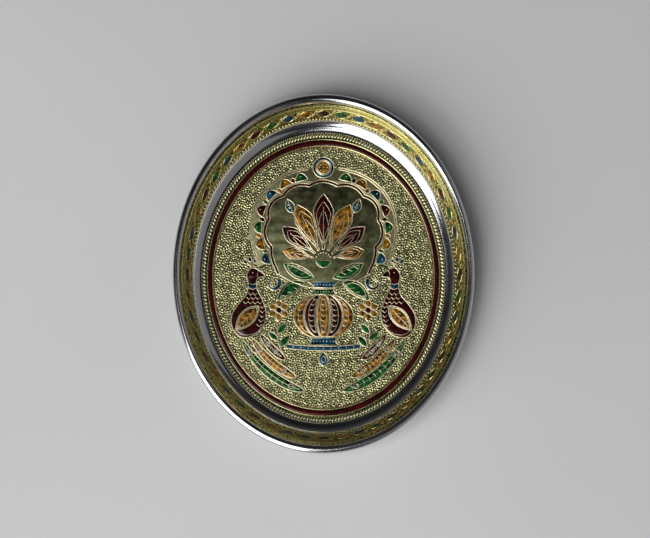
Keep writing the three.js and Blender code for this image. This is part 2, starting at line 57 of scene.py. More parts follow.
# Dish
SHEET = 0.8
FLARE = 20
COVE_RADIUS = 7.6
COVE_LAP = 0.2
WALL_ANGLE = 63.4
BEAD_RADIUS = 2.7
BEAD_SHOWN = 2.7
CROWN_FLATNESS = 0.03
BEAD_END = -145
TURNS = 384

# Centre panel, from its edge inwards
PANEL_UNDER = panel_low.z / MM
PANEL_RADIUS = panel_high.y / MM
GROUND = 1.3
TOOTH_PLACE = 0.55
TOOTH_SIZE = (0.9, 0.85, 0.7)
TOOTH_SEAT = 0.05
STRAND_PLACE = 2.2
STRAND_SIZE = (3.1, 1.5, 1.3)
STRAND_SLANT = -0.7
STRAND_SEAT = 0.12
OUTER_RIDGE = (84.7, 85.4)
RING_EDGES = (81.55, 84.7)
INNER_RIDGE = (80.7, 81.55)
RED_LINE_RADIUS = 80.1
GROUND_RADIUS = 80.3
OUTER_HEIGHT = 0.4
INNER_HEIGHT = 0.55
RIDGE_STEPS = 10
PANEL_LIP = ((0, -0.05), (-0.1, 0.05))
ROPE_BED = ((1.0, 0), (0.2, -0.12))
RING_GAP = 0.05
RING_SIDE = 0.16
SUNK = 0.1
RINGS_OVERLAP = 0.7
LINE_HALF = 0.3
LINE_HEIGHT = 0.28

# Wall band
BAND_FACE = 0.5
BAND_UNDER = 0.2
BAND_FOOT = 0.3
BAND_TOP_MARGIN = 2.0
CELL_COUNT = 48
CELL_DROP = 1.2
SMALL_PARTS = 5 * CELL_COUNT
TEETH = 7 * CELL_COUNT

wall = math.radians(WALL_ANGLE)
flat_radius = HALF_LENGTH - FLARE
cove = (flat_radius, SHEET + COVE_RADIUS)
wall_foot = (cove[0] + COVE_RADIUS * math.sin(wall), cove[1] - COVE_RADIUS * math.cos(wall))
wall_length = (HALF_LENGTH - BEAD_RADIUS * (1 + math.sin(wall)) - wall_foot[0]) / math.cos(wall)
band_top = wall_length - BAND_TOP_MARGIN
cell_up = (BAND_FOOT + band_top) / 2 - CELL_DROP
cove_edge = (PANEL_RADIUS - COVE_LAP, SHEET)


def on_wall(up, off):
    """A point of the wall's section: so far up the wall from its foot, and so far off its inner face."""
    return (wall_foot[0] + up * math.cos(wall) - off * math.sin(wall),
            wall_foot[1] + up * math.sin(wall) + off * math.cos(wall))


def arc(centre, radius, start, end, steps, rise=None):
    """Points of a circular or elliptical arc, with its angles in degrees."""
    rise = radius if rise is None else rise
    points = []
    for i in range(steps + 1):
        angle = math.radians(start + (end - start) * i / steps)
        points.append((centre[0] + radius * math.cos(angle), centre[1] + rise * math.sin(angle)))
    return points


def flattened(centre, radius, start, end, steps):
    """An arc whose crown and outer side are a little flatter than a circle's."""
    points = []
    for x, y in arc((0, 0), radius, start, end, steps):
        less = 1 - CROWN_FLATNESS * math.cos(4 * math.atan2(y, x))
        points.append((centre[0] + x * less, centre[1] + y * less))
    return points


def swept(start, corner, end, steps, pull=0.6):
    """Points of a smooth curve from start to end, whose tangents meet at the corner."""
    handles = [[a + pull * (b - a) for a, b in zip(point, corner)] for point in (start, end)]
    points = []
    for i in range(steps + 1):
        t = i / steps
        shares = ((1 - t) ** 3, 3 * (1 - t) ** 2 * t, 3 * (1 - t) * t * t, t ** 3)
        pulls = list(zip(shares, (start, *handles, end)))
        points.append(tuple(sum(share * point[axis] for share, point in pulls) for axis in (0, 1)))
    return points


def half_round(inner, outer, height, steps, base=GROUND):
    return arc(((inner + outer) / 2, base), (outer - inner) / 2, 180, 0, steps, height)


# Finishes

NOISE_LOW = 0.3
NOISE_HIGH = 0.7
FINE_SHARE = 0.22
FIELD_TURN = (0.6, 0.4, 0.3)
ENAMEL_COAT = {"Specular IOR Level": 0.2, "Coat Weight": 0.55, "Coat Roughness": 0.06, "Coat IOR": 1.5}


def ramp(tree, factor, stops):
    """Colours along a factor: each stop is a position and a colour."""
    node = tree.nodes.new("ShaderNodeValToRGB")
    elements = node.color_ramp.elements
    for element, (position, colour) in zip(elements, (stops[0], stops[-1])):
        element.position = position
        element.color = (*colour, 1)
    for position, colour in stops[1:-1]:
        elements.new(position).color = (*colour, 1)
    tree.links.new(factor, node.inputs["Fac"])
    return node.outputs["Color"]


class Finish:
    """A procedural material, built node by node on Object coordinates."""

    def __init__(self, name, metal, roughness):
        self.material = bpy.data.materials.new(name)
        self.material.use_nodes = True
        self.tree = self.material.node_tree
        self.shader = self.tree.nodes["Principled BSDF"]
        self.shader.inputs["Metallic"].default_value = metal
        self.shader.inputs["Roughness"].default_value = roughness
        self.place = self.tree.nodes.new("ShaderNodeTexCoord").outputs["Object"]

    def node(self, kind, values=None, **settings):
        made = self.tree.nodes.new(kind)
        for key, value in settings.items():
            setattr(made, key, value)
        for key, value in (values or {}).items():
            made.inputs[key].default_value = value
        return made

    def link(self, source, target):
        self.tree.links.new(source, target)

    def socket(self, name):
        return self.shader.inputs[name]

    def mapped(self, setting, value):
        """Places stretched by a Scale or turned by a Rotation."""
        mapping = self.node("ShaderNodeMapping", {setting: value})
        self.link(self.place, mapping.inputs["Vector"])
        return mapping.outputs["Vector"]

    def grain(self, size, detail=3.0, roughness=0.55, place=None):
        """Noise whose features are about so many millimetres across."""
        made = self.node("ShaderNodeTexNoise", {
            "Scale": 1 / (size * MM), "Detail": detail, "Roughness": roughness})
        self.link(place or self.place, made.inputs["Vector"])
        return made.outputs["Fac"]

    def tones(self, factor, colours, start=NOISE_LOW, end=NOISE_HIGH):
        """Colours spread evenly along a factor."""
        step = (end - start) / (len(colours) - 1)
        return ramp(self.tree, factor, [(start + step * k, colour) for k, colour in enumerate(colours)])

    def base(self, factor, *colours, **ends):
        self.link(self.tones(factor, colours, **ends), self.socket("Base Color"))

    def between(self, factor, low, high, from_low=NOISE_LOW, from_high=NOISE_HIGH):
        """The factor mapped to a range of values."""
        made = self.node("ShaderNodeMapRange", {
            "From Min": from_low, "From Max": from_high, "To Min": low, "To Max": high})
        self.link(factor, made.inputs["Value"])
        return made.outputs["Result"]

    def sum(self, first, second, operation="ADD"):
        made = self.node("ShaderNodeMath", operation=operation)
        for source, target in zip((first, second), made.inputs):
            if isinstance(source, (int, float)):
                target.default_value = source
            else:
                self.link(source, target)
        return made.outputs["Value"]

    def painted_hollow_shade(self, height, patches, lows, highs):
        """The base colour: low tones in the hollows, painted there as shade, and high ones on the heights,
        each in patches.
        """
        low, high = self.tones(patches, lows), self.tones(patches, highs)
        clamped = self.node("ShaderNodeClamp")
        self.link(height, clamped.inputs["Value"])
        made = self.node("ShaderNodeMix", data_type="RGBA")
        sockets = {socket.identifier: socket for socket in made.inputs}
        self.link(clamped.outputs["Result"], sockets["Factor_Float"])
        self.link(low, sockets["A_Color"])
        self.link(high, sockets["B_Color"])
        mixed = next(socket for socket in made.outputs if socket.identifier == "Result_Color")
        self.link(mixed, self.socket("Base Color"))

    def bump(self, height, depth, strength=1.0, under=None):
        made = self.node("ShaderNodeBump", {"Strength": strength, "Distance": depth * MM})
        self.link(height, made.inputs["Height"])
        if under is not None:
            self.link(under, made.inputs["Normal"])
        return made.outputs["Normal"]

    def rough(self, factor, low, high):
        self.link(self.between(factor, low, high), self.socket("Roughness"))

    def bumped(self, height, depth, strength, under=None):
        self.link(self.bump(height, depth, strength, under), self.socket("Normal"))

    def height(self):
        split = self.node("ShaderNodeSeparateXYZ")
        self.link(self.place, split.inputs["Vector"])
        return split.outputs["Z"]

    def above_ground(self, low, high):
        """0 to 1 over a range of heights in millimetres."""
        return self.between(self.height(), 0, 1, low * MM, high * MM)

    def off_wall(self, low, high):
        """0 to 1 over a range of distances off the sloping wall, in millimetres."""
        level = self.node("ShaderNodeVectorMath", operation="MULTIPLY")
        level.inputs[1].default_value = (1 / OVAL, 1, 0)
        self.link(self.place, level.inputs[0])
        length = self.node("ShaderNodeVectorMath", operation="LENGTH")
        self.link(level.outputs["Vector"], length.inputs[0])
        inwards = self.sum(length.outputs["Value"], -math.sin(wall), "MULTIPLY")
        upwards = self.sum(self.height(), math.cos(wall), "MULTIPLY")
        start = (math.cos(wall) * wall_foot[1] - math.sin(wall) * wall_foot[0]) * MM
        return self.between(self.sum(inwards, upwards), 0, 1, start + low * MM, start + high * MM)


def polished_steel():
    finish = Finish("polished_steel", 1.0, 0.12)
    smears = finish.grain(38, 3)
    finish.base(smears, (0.56, 0.56, 0.575), (0.64, 0.64, 0.65))
    finish.rough(smears, 0.1, 0.18)
    across = finish.grain(0.5, 2, 0.6, finish.mapped("Scale", (1, 0.04, 1)))
    along = finish.grain(0.6, 2, 0.6, finish.mapped("Scale", (0.05, 1, 1)))
    scratches = finish.bump(across, 0.004, 0.3)
    finish.bumped(along, 0.004, 0.3, scratches)
    return finish.material


def embossed_gilt(name, lows, highs, relief, roughness=0.26):
    """Gilt sheet, dark in its hollows as painted shade and bright on its heights. Relief tells how high a
    place stands.
    """
    finish = Finish(name, 1.0, roughness)
    fine = finish.grain(0.5, 3, 0.6)
    height = finish.sum(relief(finish), finish.between(fine, -FINE_SHARE, FINE_SHARE))
    finish.painted_hollow_shade(height, finish.grain(11, 4), lows, highs)
    finish.rough(fine, roughness - 0.08, roughness + 0.12)
    finish.bumped(fine, 0.035, 0.7)
    return finish.material


def chased_gilt():
    """Gilt of the wall band: chased all over, with painted shade dark between its strokes and on its lowest
    parts.
    """
    finish = Finish("band_gilt", 1.0, 0.25)
    strokes = finish.grain(1.1, 2, 0.5)
    chased = finish.between(strokes, -0.15, 0.4, 0.36, 0.6)
    height = finish.sum(finish.off_wall(BAND_FACE - 0.05, BAND_FACE + 0.3), chased)
    finish.painted_hollow_shade(height, finish.grain(14, 3), BAND_LOWS, BAND_HIGHS)
    finish.rough(strokes, 0.18, 0.36)
    finish.bumped(strokes, 0.07, 0.6)
    return finish.material


def field_gilt():
    """The smooth field behind the arch: olive, cloudy and rubbed. Its noise is turned, so that the flat
    sheet doesn't cut it along one layer."""
    finish = Finish("field_gilt", 1.0, 0.3)
    place = finish.mapped("Rotation", FIELD_TURN)
    clouds = finish.grain(5, 6, 0.65, place)
    finish.base(clouds, (0.06, 0.065, 0.03), (0.12, 0.125, 0.06), (0.20, 0.205, 0.11))
    finish.rough(clouds, 0.32, 0.5)
    finish.bumped(finish.grain(1.1, 4, 0.6, place), 0.09, 0.8)
    return finish.material


def bright_gilt(name, dark, bright, roughness=0.2):
    """The raised lines of the design, rubbed bright."""
    finish = Finish(name, 1.0, roughness)
    fine = finish.grain(1.4, 3)
    finish.base(fine, dark, bright)
    finish.rough(fine, roughness - 0.06, roughness + 0.1)
    finish.bumped(finish.grain(0.4, 2), 0.02, 0.5)
    return finish.material


def enamel(name, deep, bright, cloud=2.6):
    """Translucent glossy enamel over embossed foil: an uneven foil under a smooth coat."""
    finish = Finish(name, 0.6, 0.3)
    clouds = finish.grain(cloud, 4)
    finish.base(clouds, deep, bright, start=0.38, end=0.68)
    foil = finish.grain(1.0, 4, 0.6)
    finish.rough(foil, 0.22, 0.42)
    finish.bumped(foil, 0.2, 0.9)
    for name, value in ENAMEL_COAT.items():
        finish.socket(name).default_value = value
    skin = finish.grain(2.4, 2)
    finish.link(finish.bump(skin, 0.05, 0.6), finish.socket("Coat Normal"))
    return finish.material


def glue_film():
    finish = Finish("glue_film", 0.0, 0.6)
    finish.base(finish.grain(3), (0.55, 0.52, 0.4), (0.66, 0.63, 0.5))
    return finish.material


def red_line():
    """A thin line of red enamel, worn through to the gilt here and there."""
    finish = Finish("worn_red", 0.6, 0.3)
    wear = finish.grain(1.3, 2)
    finish.base(wear, (0.16, 0.03, 0.01), (0.42, 0.33, 0.16), start=0.42, end=0.56)
    finish.bumped(wear, 0.05, 0.5)
    return finish.material


# LOWS are dark tones painted into the gilt's hollows as shade; HIGHS are the gilt's own colour on its
# heights. Each comes in two patches.
BAND_LOWS = ((0.07, 0.056, 0.009), (0.16, 0.128, 0.02))
BAND_HIGHS = ((0.51, 0.46, 0.15), (0.67, 0.62, 0.30))
GROUND_LOWS = ((0.02, 0.02, 0.007), (0.045, 0.044, 0.016))
GROUND_HIGHS = ((0.54, 0.52, 0.26), (0.70, 0.68, 0.35))
PALE_LOWS = ((0.055, 0.055, 0.016), (0.11, 0.105, 0.035))
PALE_HIGHS = ((0.78, 0.74, 0.38), (0.92, 0.88, 0.50))
STEEL = polished_steel()
GRAINED = embossed_gilt("grained_gilt", GROUND_LOWS, GROUND_HIGHS,
                        lambda finish: finish.above_ground(GROUND - 0.06, GROUND + 0.17))
CHAMPAGNE = embossed_gilt("champagne_gilt", PALE_LOWS, PALE_HIGHS,
                          lambda finish: finish.above_ground(GROUND + 0.02, GROUND + 0.4))
GOLD = chased_gilt()
BEAD_GOLD = bright_gilt("bead_gilt", (0.66, 0.54, 0.20), (0.88, 0.78, 0.42))
BEAD_PALE = bright_gilt("strand_gilt", (0.72, 0.69, 0.43), (0.90, 0.87, 0.64), 0.28)
FIELD = field_gilt()
STRIP = bright_gilt("strip_gilt", (0.30, 0.29, 0.14), (0.46, 0.44, 0.24), 0.36)
LINE_GILT = bright_gilt("line_gilt", (0.74, 0.64, 0.40), (0.94, 0.86, 0.62), 0.36)
GLUE = glue_film()
RED_LINE = red_line()
ENAMELS = {
    "maroon": enamel("maroon_enamel", (0.005, 0.0001, 0.0002), (0.085, 0.002, 0.0025)),
    "orange": enamel("orange_enamel", (0.04, 0.014, 0.0006), (0.60, 0.26, 0.009)),
    "green": enamel("green_enamel", (0.0006, 0.013, 0.0025), (0.010, 0.20, 0.034)),
    "blue": enamel("blue_enamel", (0.0006, 0.009, 0.018), (0.008, 0.12, 0.22)),
}
RING_MAROON = enamel("ring_maroon", (0.022, 0.0004, 0.0006), (0.085, 0.002, 0.0025), cloud=16)


# Ways of making

SEAM_GAP = 0.002
FILL_GAP = 0.001
TOP_SLACK = 0.01
TURNED_CREASE = math.radians(40)
FILL_CREASE = math.radians(50)
CORNER = math.radians(38)
LEAF_SHARES = ((0.22, 0.72), (0.5, 1.0), (0.78, 0.66))


def mode(name):
    bpy.ops.object.mode_set(mode=name)


def begin(*pieces):
    """Clears the selection, and selects the given pieces, the first one active."""
    if bpy.context.object and bpy.context.object.mode != "OBJECT":
        mode("OBJECT")
    bpy.ops.object.select_all(action="DESELECT")
    for piece in pieces:
        piece.select_set(True)
    if pieces:
        bpy.context.view_layer.objects.active = pieces[0]


def placed(name, data):
    piece = bpy.data.objects.new(name, data)
    bpy.context.scene.collection.objects.link(piece)
    return piece


def edit(action="SELECT"):
    """Opens the piece in hand for editing, with all or none of it selected."""
    mode("EDIT")
    bpy.ops.mesh.select_all(action=action)


def seal(gap):
    """Merges points closer than the gap, turns the faces outwards and ends the editing."""
    bpy.ops.mesh.select_all(action="SELECT")
    bpy.ops.mesh.remove_doubles(threshold=gap * MM)
    bpy.ops.mesh.normals_make_consistent(inside=False)
    mode("OBJECT")


def settle(name):
    """Names the piece in hand, and moves its place, turn and scale into its mesh."""
    piece = bpy.context.active_object
    bpy.ops.object.transform_apply(location=True, rotation=True, scale=True)
    piece.name = name
    piece.data.name = name
    return piece


def narrow(piece):
    """Narrows a ring that was drawn round to the plate's oval."""
    begin(piece)
    piece.scale.x = OVAL
    bpy.ops.object.transform_apply(location=False, rotation=False, scale=True)
    return piece


def traced(outline, axis, steps):
    """Turns an outline of (radius, height) points round an axis, Z or Y, and closes its seam and poles."""
    begin()
    first = outline[0]
    place = (first[0] * MM, 0, first[1] * MM) if axis == "Z" else (first[0] * MM, first[1] * MM, 0)
    bpy.ops.mesh.primitive_plane_add(size=MM, location=place)
    bpy.ops.object.transform_apply(location=True)
    mode("EDIT")
    bpy.ops.mesh.merge(type="CENTER")
    for (r0, z0), (r1, z1) in zip(outline, outline[1:]):
        out, rise = (r1 - r0) * MM, (z1 - z0) * MM
        move = (out, 0, rise) if axis == "Z" else (out, rise, 0)
        bpy.ops.mesh.extrude_vertices_move(TRANSFORM_OT_translate={"value": move})
    bpy.ops.mesh.select_all(action="SELECT")
    line = (0, 0, 1) if axis == "Z" else (0, 1, 0)
    bpy.ops.mesh.spin(steps=steps, angle=2 * math.pi, center=(0, 0, 0), axis=line)
    seal(SEAM_GAP)
    return bpy.context.active_object


def turned(name, outline, steps=TURNS):
    """A ring or disc of the plate from its section."""
    traced(outline, "Z", steps)
    piece = narrow(settle(name))
    bpy.ops.object.shade_smooth_by_angle(angle=TURNED_CREASE)
    return piece


def laid(name, place, tilt=0.0, slant=0.0, around=0.0):
    """Lays the part in hand on the plate's section: slanted in its own plane, tilted onto the wall, moved
    out to its place, and swung round the plate."""
    piece = bpy.context.active_object
    piece.rotation_euler = (0, 0, slant)
    bpy.ops.object.transform_apply(location=False, rotation=True, scale=True)
    piece.rotation_euler = (0, -tilt, 0)
    piece.location = (place[0] * MM, 0, place[1] * MM)
    bpy.ops.object.transform_apply(location=True, rotation=True, scale=False)
    piece.rotation_euler = (0, 0, around)
    return settle(name)


def bead(sizes, segments=8, rings=6):
    """A bead at the origin: its sizes run out along the section, along the ring, and off the surface."""
    begin()
    bpy.ops.mesh.primitive_uv_sphere_add(segments=segments, ring_count=rings, radius=0.5)
    bpy.context.active_object.scale = [size * MM for size in sizes]
    bpy.ops.object.shade_smooth()


def leaf(length, width, height, sides=10, steps=8, fullness=1.0):
    """A pointed leaf at the origin, along the ring. Less fullness makes its ends blunter."""
    profile = []
    for i in range(steps + 1):
        along = 2 * i / steps - 1
        profile.append(((1 - along * along) ** fullness * width / 2, along * length / 2))
    piece = traced(profile, "Y", sides)
    piece.scale.z = height / width
    bpy.ops.object.shade_smooth()


def ringed(piece, count):
    """Copies a part round the plate, evenly, and narrows the ring to the oval."""
    begin(piece)
    edit()
    bpy.ops.mesh.spin(steps=count - 1, dupli=True, angle=2 * math.pi * (count - 1) / count,
                      center=(0, 0, 0), axis=(0, 0, 1))
    mode("OBJECT")
    return narrow(piece)


def joined(name, pieces):
    begin(*pieces)
    if len(pieces) > 1:
        bpy.ops.object.join()
    return settle(name)


def dress(piece, material):
    """Gives a finished piece its finish and its body."""
    piece.data.materials.clear()
    piece.data.materials.append(material)
    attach(piece, "root")


def drawn(name, loops, closed=True):
    """A curve through points in millimetres, smooth but for its sharp corners."""
    begin()
    data = bpy.data.curves.new(name, "CURVE")
    data.resolution_u = 4
    for loop in loops:
        spline = data.splines.new("BEZIER")
        spline.bezier_points.add(len(loop) - 1)
        spline.use_cyclic_u = closed
        for i, (point, knot) in enumerate(zip(loop, spline.bezier_points)):
            knot.co = (point[0] * MM, point[1] * MM, 0)
            inner = closed or 0 < i < len(loop) - 1
            here = Vector(point)
            back, ahead = here - Vector(loop[i - 1]), Vector(loop[(i + 1) % len(loop)]) - here
            kind = "VECTOR" if inner and back.angle(ahead) > CORNER else "AUTO"
            knot.handle_left_type = knot.handle_right_type = kind
    piece = placed(name, data)
    begin(piece)
    return piece


def wires(name, loops, radius, height, closed=False):
    """Round raised lines along a drawn curve, at a height."""
    piece = drawn(name, loops, closed)
    piece.data.dimensions = "3D"
    piece.data.bevel_depth = radius * MM
    piece.data.bevel_resolution = 1
    piece.data.use_fill_caps = True
    piece.location.z = height * MM
    bpy.ops.object.convert(target="MESH")
    piece = settle(name)
    bpy.ops.object.shade_smooth()
    return piece


def pillow(name, loops, edge, bottom, top):
    """A flat filled shape with a rounded edge, between two heights."""
    piece = drawn(name, loops)
    piece.data.dimensions = "2D"
    piece.data.fill_mode = "BOTH"
    piece.data.bevel_depth = edge * MM
    piece.data.bevel_resolution = 2
    piece.data.offset = -edge * MM
    piece.data.extrude = ((top - bottom) / 2 - edge) * MM
    piece.location.z = (top + bottom) / 2 * MM
    bpy.ops.object.convert(target="MESH")
    piece = settle(name)
    mode("EDIT")
    seal(FILL_GAP)
    bpy.ops.object.shade_smooth_by_angle(angle=FILL_CREASE)
    return piece


def outward(loops):
    """Closed outlines, all drawn counterclockwise."""
    made = []
    for loop in loops:
        area = sum(x0 * y1 - x1 * y0 for (x0, y0), (x1, y1) in zip(loop, loop[1:] + loop[:1]))
        made.append(loop if area > 0 else loop[::-1])
    return made


def leaf_loop(base, tip, half):
    """The outline of a small leaf or petal."""
    base, tip = Vector(base), Vector(tip)
    across = (tip - base).normalized().orthogonal() * half
    left = [base.lerp(tip, along) + across * wide for along, wide in LEAF_SHARES]
    right = [base.lerp(tip, along) - across * wide for along, wide in LEAF_SHARES[::-1]]
    return [tuple(point) for point in (base, *left, tip, *right)]


def on_circle(centre, radius, degrees):
    """A point on a circle."""
    angle = math.radians(degrees)
    return (centre[0] + radius * math.cos(angle), centre[1] + radius * math.sin(angle))


def round_loop(x, y, radius, points=10):
    turns = [2 * math.pi * k / points for k in range(points)]
    return [(x + radius * math.cos(turn), y + radius * math.sin(turn)) for turn in turns]


def dots(name, points, radius, height):
    """Small raised gilt dots at points of the panel."""
    begin()
    bpy.ops.mesh.primitive_uv_sphere_add(segments=10, ring_count=6, radius=radius * MM)
    bpy.ops.object.shade_smooth()
    first = bpy.context.active_object
    made = []
    for x, y in points:
        dot = placed(name, first.data.copy())
        dot.location = (x * MM, y * MM, height * MM)
        made.append(dot)
    bpy.data.objects.remove(first)
    dress(joined(name, made), LINE_GILT)


# The dish: pressed sheet with a cove, a sloping wall and a rolled rim

def dish_shell():
    top = on_wall(wall_length, 0)
    bead_centre = (top[0] + BEAD_RADIUS * math.sin(wall), top[1] - BEAD_RADIUS * math.cos(wall))
    section = [(0, 0), (flat_radius / 3, 0), (flat_radius * 2 / 3, 0)]
    section += arc(cove, COVE_RADIUS + SHEET, -90, WALL_ANGLE - 90, steps=14)
    section += arc(bead_centre, BEAD_RADIUS - SHEET, WALL_ANGLE + 90, BEAD_END, steps=20)
    section += flattened(bead_centre, BEAD_SHOWN, BEAD_END, WALL_ANGLE + 90, steps=36)
    corner = (flat_radius + COVE_RADIUS * math.tan(wall / 2), SHEET)
    section += swept(cove_edge, corner, wall_foot, steps=22)[::-1]
    section += [(flat_radius * 2 / 3, SHEET), (flat_radius / 3, SHEET), (0, SHEET)]
    shell = turned("dish_shell", section)
    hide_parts("dish")
    dress(shell, STEEL)


# The centre panel's rings: rope, two ridges, and the maroon enamel between them

def panel_rings():
    inner = INNER_RIDGE[0] - RINGS_OVERLAP
    section = [(inner, PANEL_UNDER), (PANEL_RADIUS, PANEL_UNDER)]
    section += [(PANEL_RADIUS + out, GROUND + up) for out, up in PANEL_LIP]
    section += [(OUTER_RIDGE[1] + out, GROUND + up) for out, up in ROPE_BED]
    section += half_round(*OUTER_RIDGE, OUTER_HEIGHT, RIDGE_STEPS)[::-1]
    section += half_round(*INNER_RIDGE, INNER_HEIGHT, RIDGE_STEPS)[::-1]
    section += [(inner, GROUND - SUNK), (inner, PANEL_UNDER)]
    rings = turned("panel_rings", section)
    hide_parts("centre_panel")
    dress(rings, CHAMPAGNE)


def rope_border():
    """A twist of plump slanting strands, with a finer row of teeth outside it, along the panel's edge."""
    bead(STRAND_SIZE)
    strands = laid("rope_strands", (PANEL_RADIUS - STRAND_PLACE, GROUND + STRAND_SEAT), slant=STRAND_SLANT)
    ringed(strands, SMALL_PARTS)
    bead(TOOTH_SIZE)
    teeth = laid("edge_teeth", (PANEL_RADIUS - TOOTH_PLACE, GROUND + TOOTH_SEAT))
    ringed(teeth, TEETH)
    dress(strands, BEAD_PALE)
    dress(teeth, BEAD_PALE)


def ring_enamel():
    _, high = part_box("ring_enamel")
    inner, outer = RING_EDGES[0] + RING_GAP, RING_EDGES[1] - RING_GAP
    side = GROUND + RING_SIDE
    section = [(inner, GROUND - RING_GAP), (outer, GROUND - RING_GAP)]
    section += half_round(inner, outer, high.z / MM - side, RIDGE_STEPS, side)[::-1]
    section += [(inner, GROUND - RING_GAP)]
    piece = turned("maroon_ring", section)
    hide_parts("ring_enamel")
    dress(piece, RING_MAROON)


def worn_line():
    """The thin worn red line at the foot of the inner ridge."""
    inner, outer = RED_LINE_RADIUS - LINE_HALF, RED_LINE_RADIUS + LINE_HALF
    section = half_round(inner, outer, LINE_HEIGHT, steps=6)
    section = [(inner, GROUND - SUNK), *section, (outer, GROUND - SUNK)]
    dress(turned("worn_line", section + section[:1]), RED_LINE)


# The centre design's outlines, as the solids give them

def top_outlines(node):
    """Outlines of a fill's top face as lists of (x, y) points in millimetres, the longest first."""
    copy = placed(node, frame["nodes"][node].data.copy())
    begin(copy)
    edit()
    bpy.ops.mesh.remove_doubles(threshold=SEAM_GAP * MM)
    mode("OBJECT")
    corners = [vertex.co / MM for vertex in copy.data.vertices]
    top = max(corner.z for corner in corners) - TOP_SLACK
    edges = set()
    for face in copy.data.polygons:
        if all(corners[v].z > top for v in face.vertices):
            edges.update(zip(face.vertices, [*face.vertices[1:], face.vertices[0]]))
    onward = {a: b for a, b in edges if (b, a) not in edges}
    bpy.data.objects.remove(copy)
    loops = []
    while onward:
        start, vertex = onward.popitem()
        loop = [start]
        while vertex != start:
            loop.append(vertex)
            vertex = onward.pop(vertex)
        loops.append([corners[v].to_2d().to_tuple() for v in loop])
    return sorted(loops, key=len, reverse=True)


fills = sorted(name for name in frame["nodes"] if name.startswith("enamel_"))
outlines = {fill: top_outlines(fill) for fill in fills}
colours = {part["node"]: part["material_slot"] for part in frame["record"]["subparts"]}


def middle(loop):
    return (sum(x for x, y in loop) / len(loop), sum(y for x, y in loop) / len(loop))


def shrunk(loop, share, share_y):
    """An outline drawn smaller inside itself."""
    x0, y0 = middle(loop)
    return [(x0 + (x - x0) * share, y0 + (y - y0) * share_y) for x, y in loop]


# The arch: its middle line round the smooth field, and the ridge outside its scallops

ARCH_MIDDLE = (0.0, 24.0)
ARCH_STEP = 3
FOOT_X = 27.5
FOOT_Y = 2.0
SWAG_DROP = 9.0
RIDGE_ROOM = 9.6
RIDGE_GAP = 9
RIDGE_END = 12
RIDGE_SPREAD = 4 * ARCH_STEP
RIDGE_INSETS = (-0.2, 1.1)
SWAG_SHARES = (0.85, 0.65, 0.4, 0.15, -0.15, -0.4, -0.65, -0.85)
SHEET_EDGE = 0.05
SHEET_SUNK = 0.2


def bearing(x, y):
    """A point's direction from the arch's middle, in degrees from straight up, and its distance."""
    right, up = x - ARCH_MIDDLE[0], y - ARCH_MIDDLE[1]
    return math.degrees(math.atan2(right, up)), math.hypot(right, up)


def arch_reach(degrees):
    """How far the arch's band lies from its middle point, in a direction measured from straight up."""
    near = []
    for x, y in outlines["enamel_arch_band"][0]:
        angle, reach = bearing(x, y)
        if abs(angle - degrees) < ARCH_STEP:
            near.append(reach)
    return sum(near) / len(near)


def from_middle(degrees, reach):
    angle = math.radians(degrees)
    return (ARCH_MIDDLE[0] + reach * math.sin(angle), ARCH_MIDDLE[1] + reach * math.cos(angle))


def along_arch(reaches, angles, inwards=0):
    return [from_middle(angle, reaches[angle] - inwards) for angle in angles]


foot_angle, _ = bearing(FOOT_X, FOOT_Y)
arch_angles = range(-ARCH_STEP * int(foot_angle / ARCH_STEP), int(foot_angle) + 1, ARCH_STEP)
arch_reaches = {angle: arch_reach(angle) for angle in arch_angles}
ridge_reaches = {}
for angle in arch_angles:
    if abs(angle) < foot_angle - RIDGE_END:
        near = [arch_reaches[a] for a in arch_angles if abs(a - angle) <= RIDGE_SPREAD]
        ridge_reaches[angle] = sum(near) / len(near) + RIDGE_ROOM


def swag(x):
    return FOOT_Y - SWAG_DROP * (1 - (x / FOOT_X) ** 2)


def in_field(x, y):
    """Whether a point lies on the smooth field inside the arch."""
    angle, reach = bearing(x, y)
    nearest = ARCH_STEP * round(angle / ARCH_STEP)
    if nearest in arch_reaches:
        room = RIDGE_ROOM if nearest in ridge_reaches else 0
        return reach < arch_reaches[nearest] + room
    return y > swag(x)


def arch_field():
    """The smooth sheets inside the arch, closed below by a swag, and between the arch and its ridge."""
    edge = along_arch(arch_reaches, arch_angles)
    outer = along_arch(ridge_reaches, ridge_reaches)
    inner = along_arch(arch_reaches, ridge_reaches)
    bottom = GROUND - SHEET_SUNK
    strip = pillow("scallop_strip", outward([outer + inner[::-1]]), SHEET_EDGE, bottom, GROUND + 0.1)
    dress(strip, STRIP)
    hang = [(FOOT_X * share, swag(FOOT_X * share)) for share in SWAG_SHARES]
    field = pillow("arch_field", outward([edge + hang]), SHEET_EDGE, bottom, GROUND + 0.14)
    dress(field, FIELD)
    return [(FOOT_X, FOOT_Y), *hang, (-FOOT_X, FOOT_Y)]


def ridge_lines():
    """The pale ridge outside the scallops: a line up each side, from the scroll to the medallion."""
    lines = []
    for side in (-1, 1):
        angles = [angle for angle in ridge_reaches if side * angle > RIDGE_GAP]
        for inwards in RIDGE_INSETS:
            lines.append(along_arch(ridge_reaches, angles, inwards))
    return lines


# The panel's ground

GRID_STEP = 0.3
GRAIN_WAVES = 31
GRAIN_PERIODS = (1.15, 1.75)
GRAIN_START = 1.9373
GRAIN_STRIDE = 7
GRAIN_BASE = 0.03
GRAIN_HEIGHT = 0.16
GRAIN_CRISPNESS = 1.5
GRAIN_BIAS = 0.45

grain_waves = []
for i in range(GRAIN_WAVES):
    step = i * GRAIN_STRIDE % GRAIN_WAVES
    pace = 2 * math.pi / (GRAIN_PERIODS[0] + (GRAIN_PERIODS[1] - GRAIN_PERIODS[0]) * step / GRAIN_WAVES)
    turn = math.radians(i * 180 / GRAIN_WAVES)
    grain_waves.append((pace * math.cos(turn), pace * math.sin(turn), GRAIN_START * i * i))


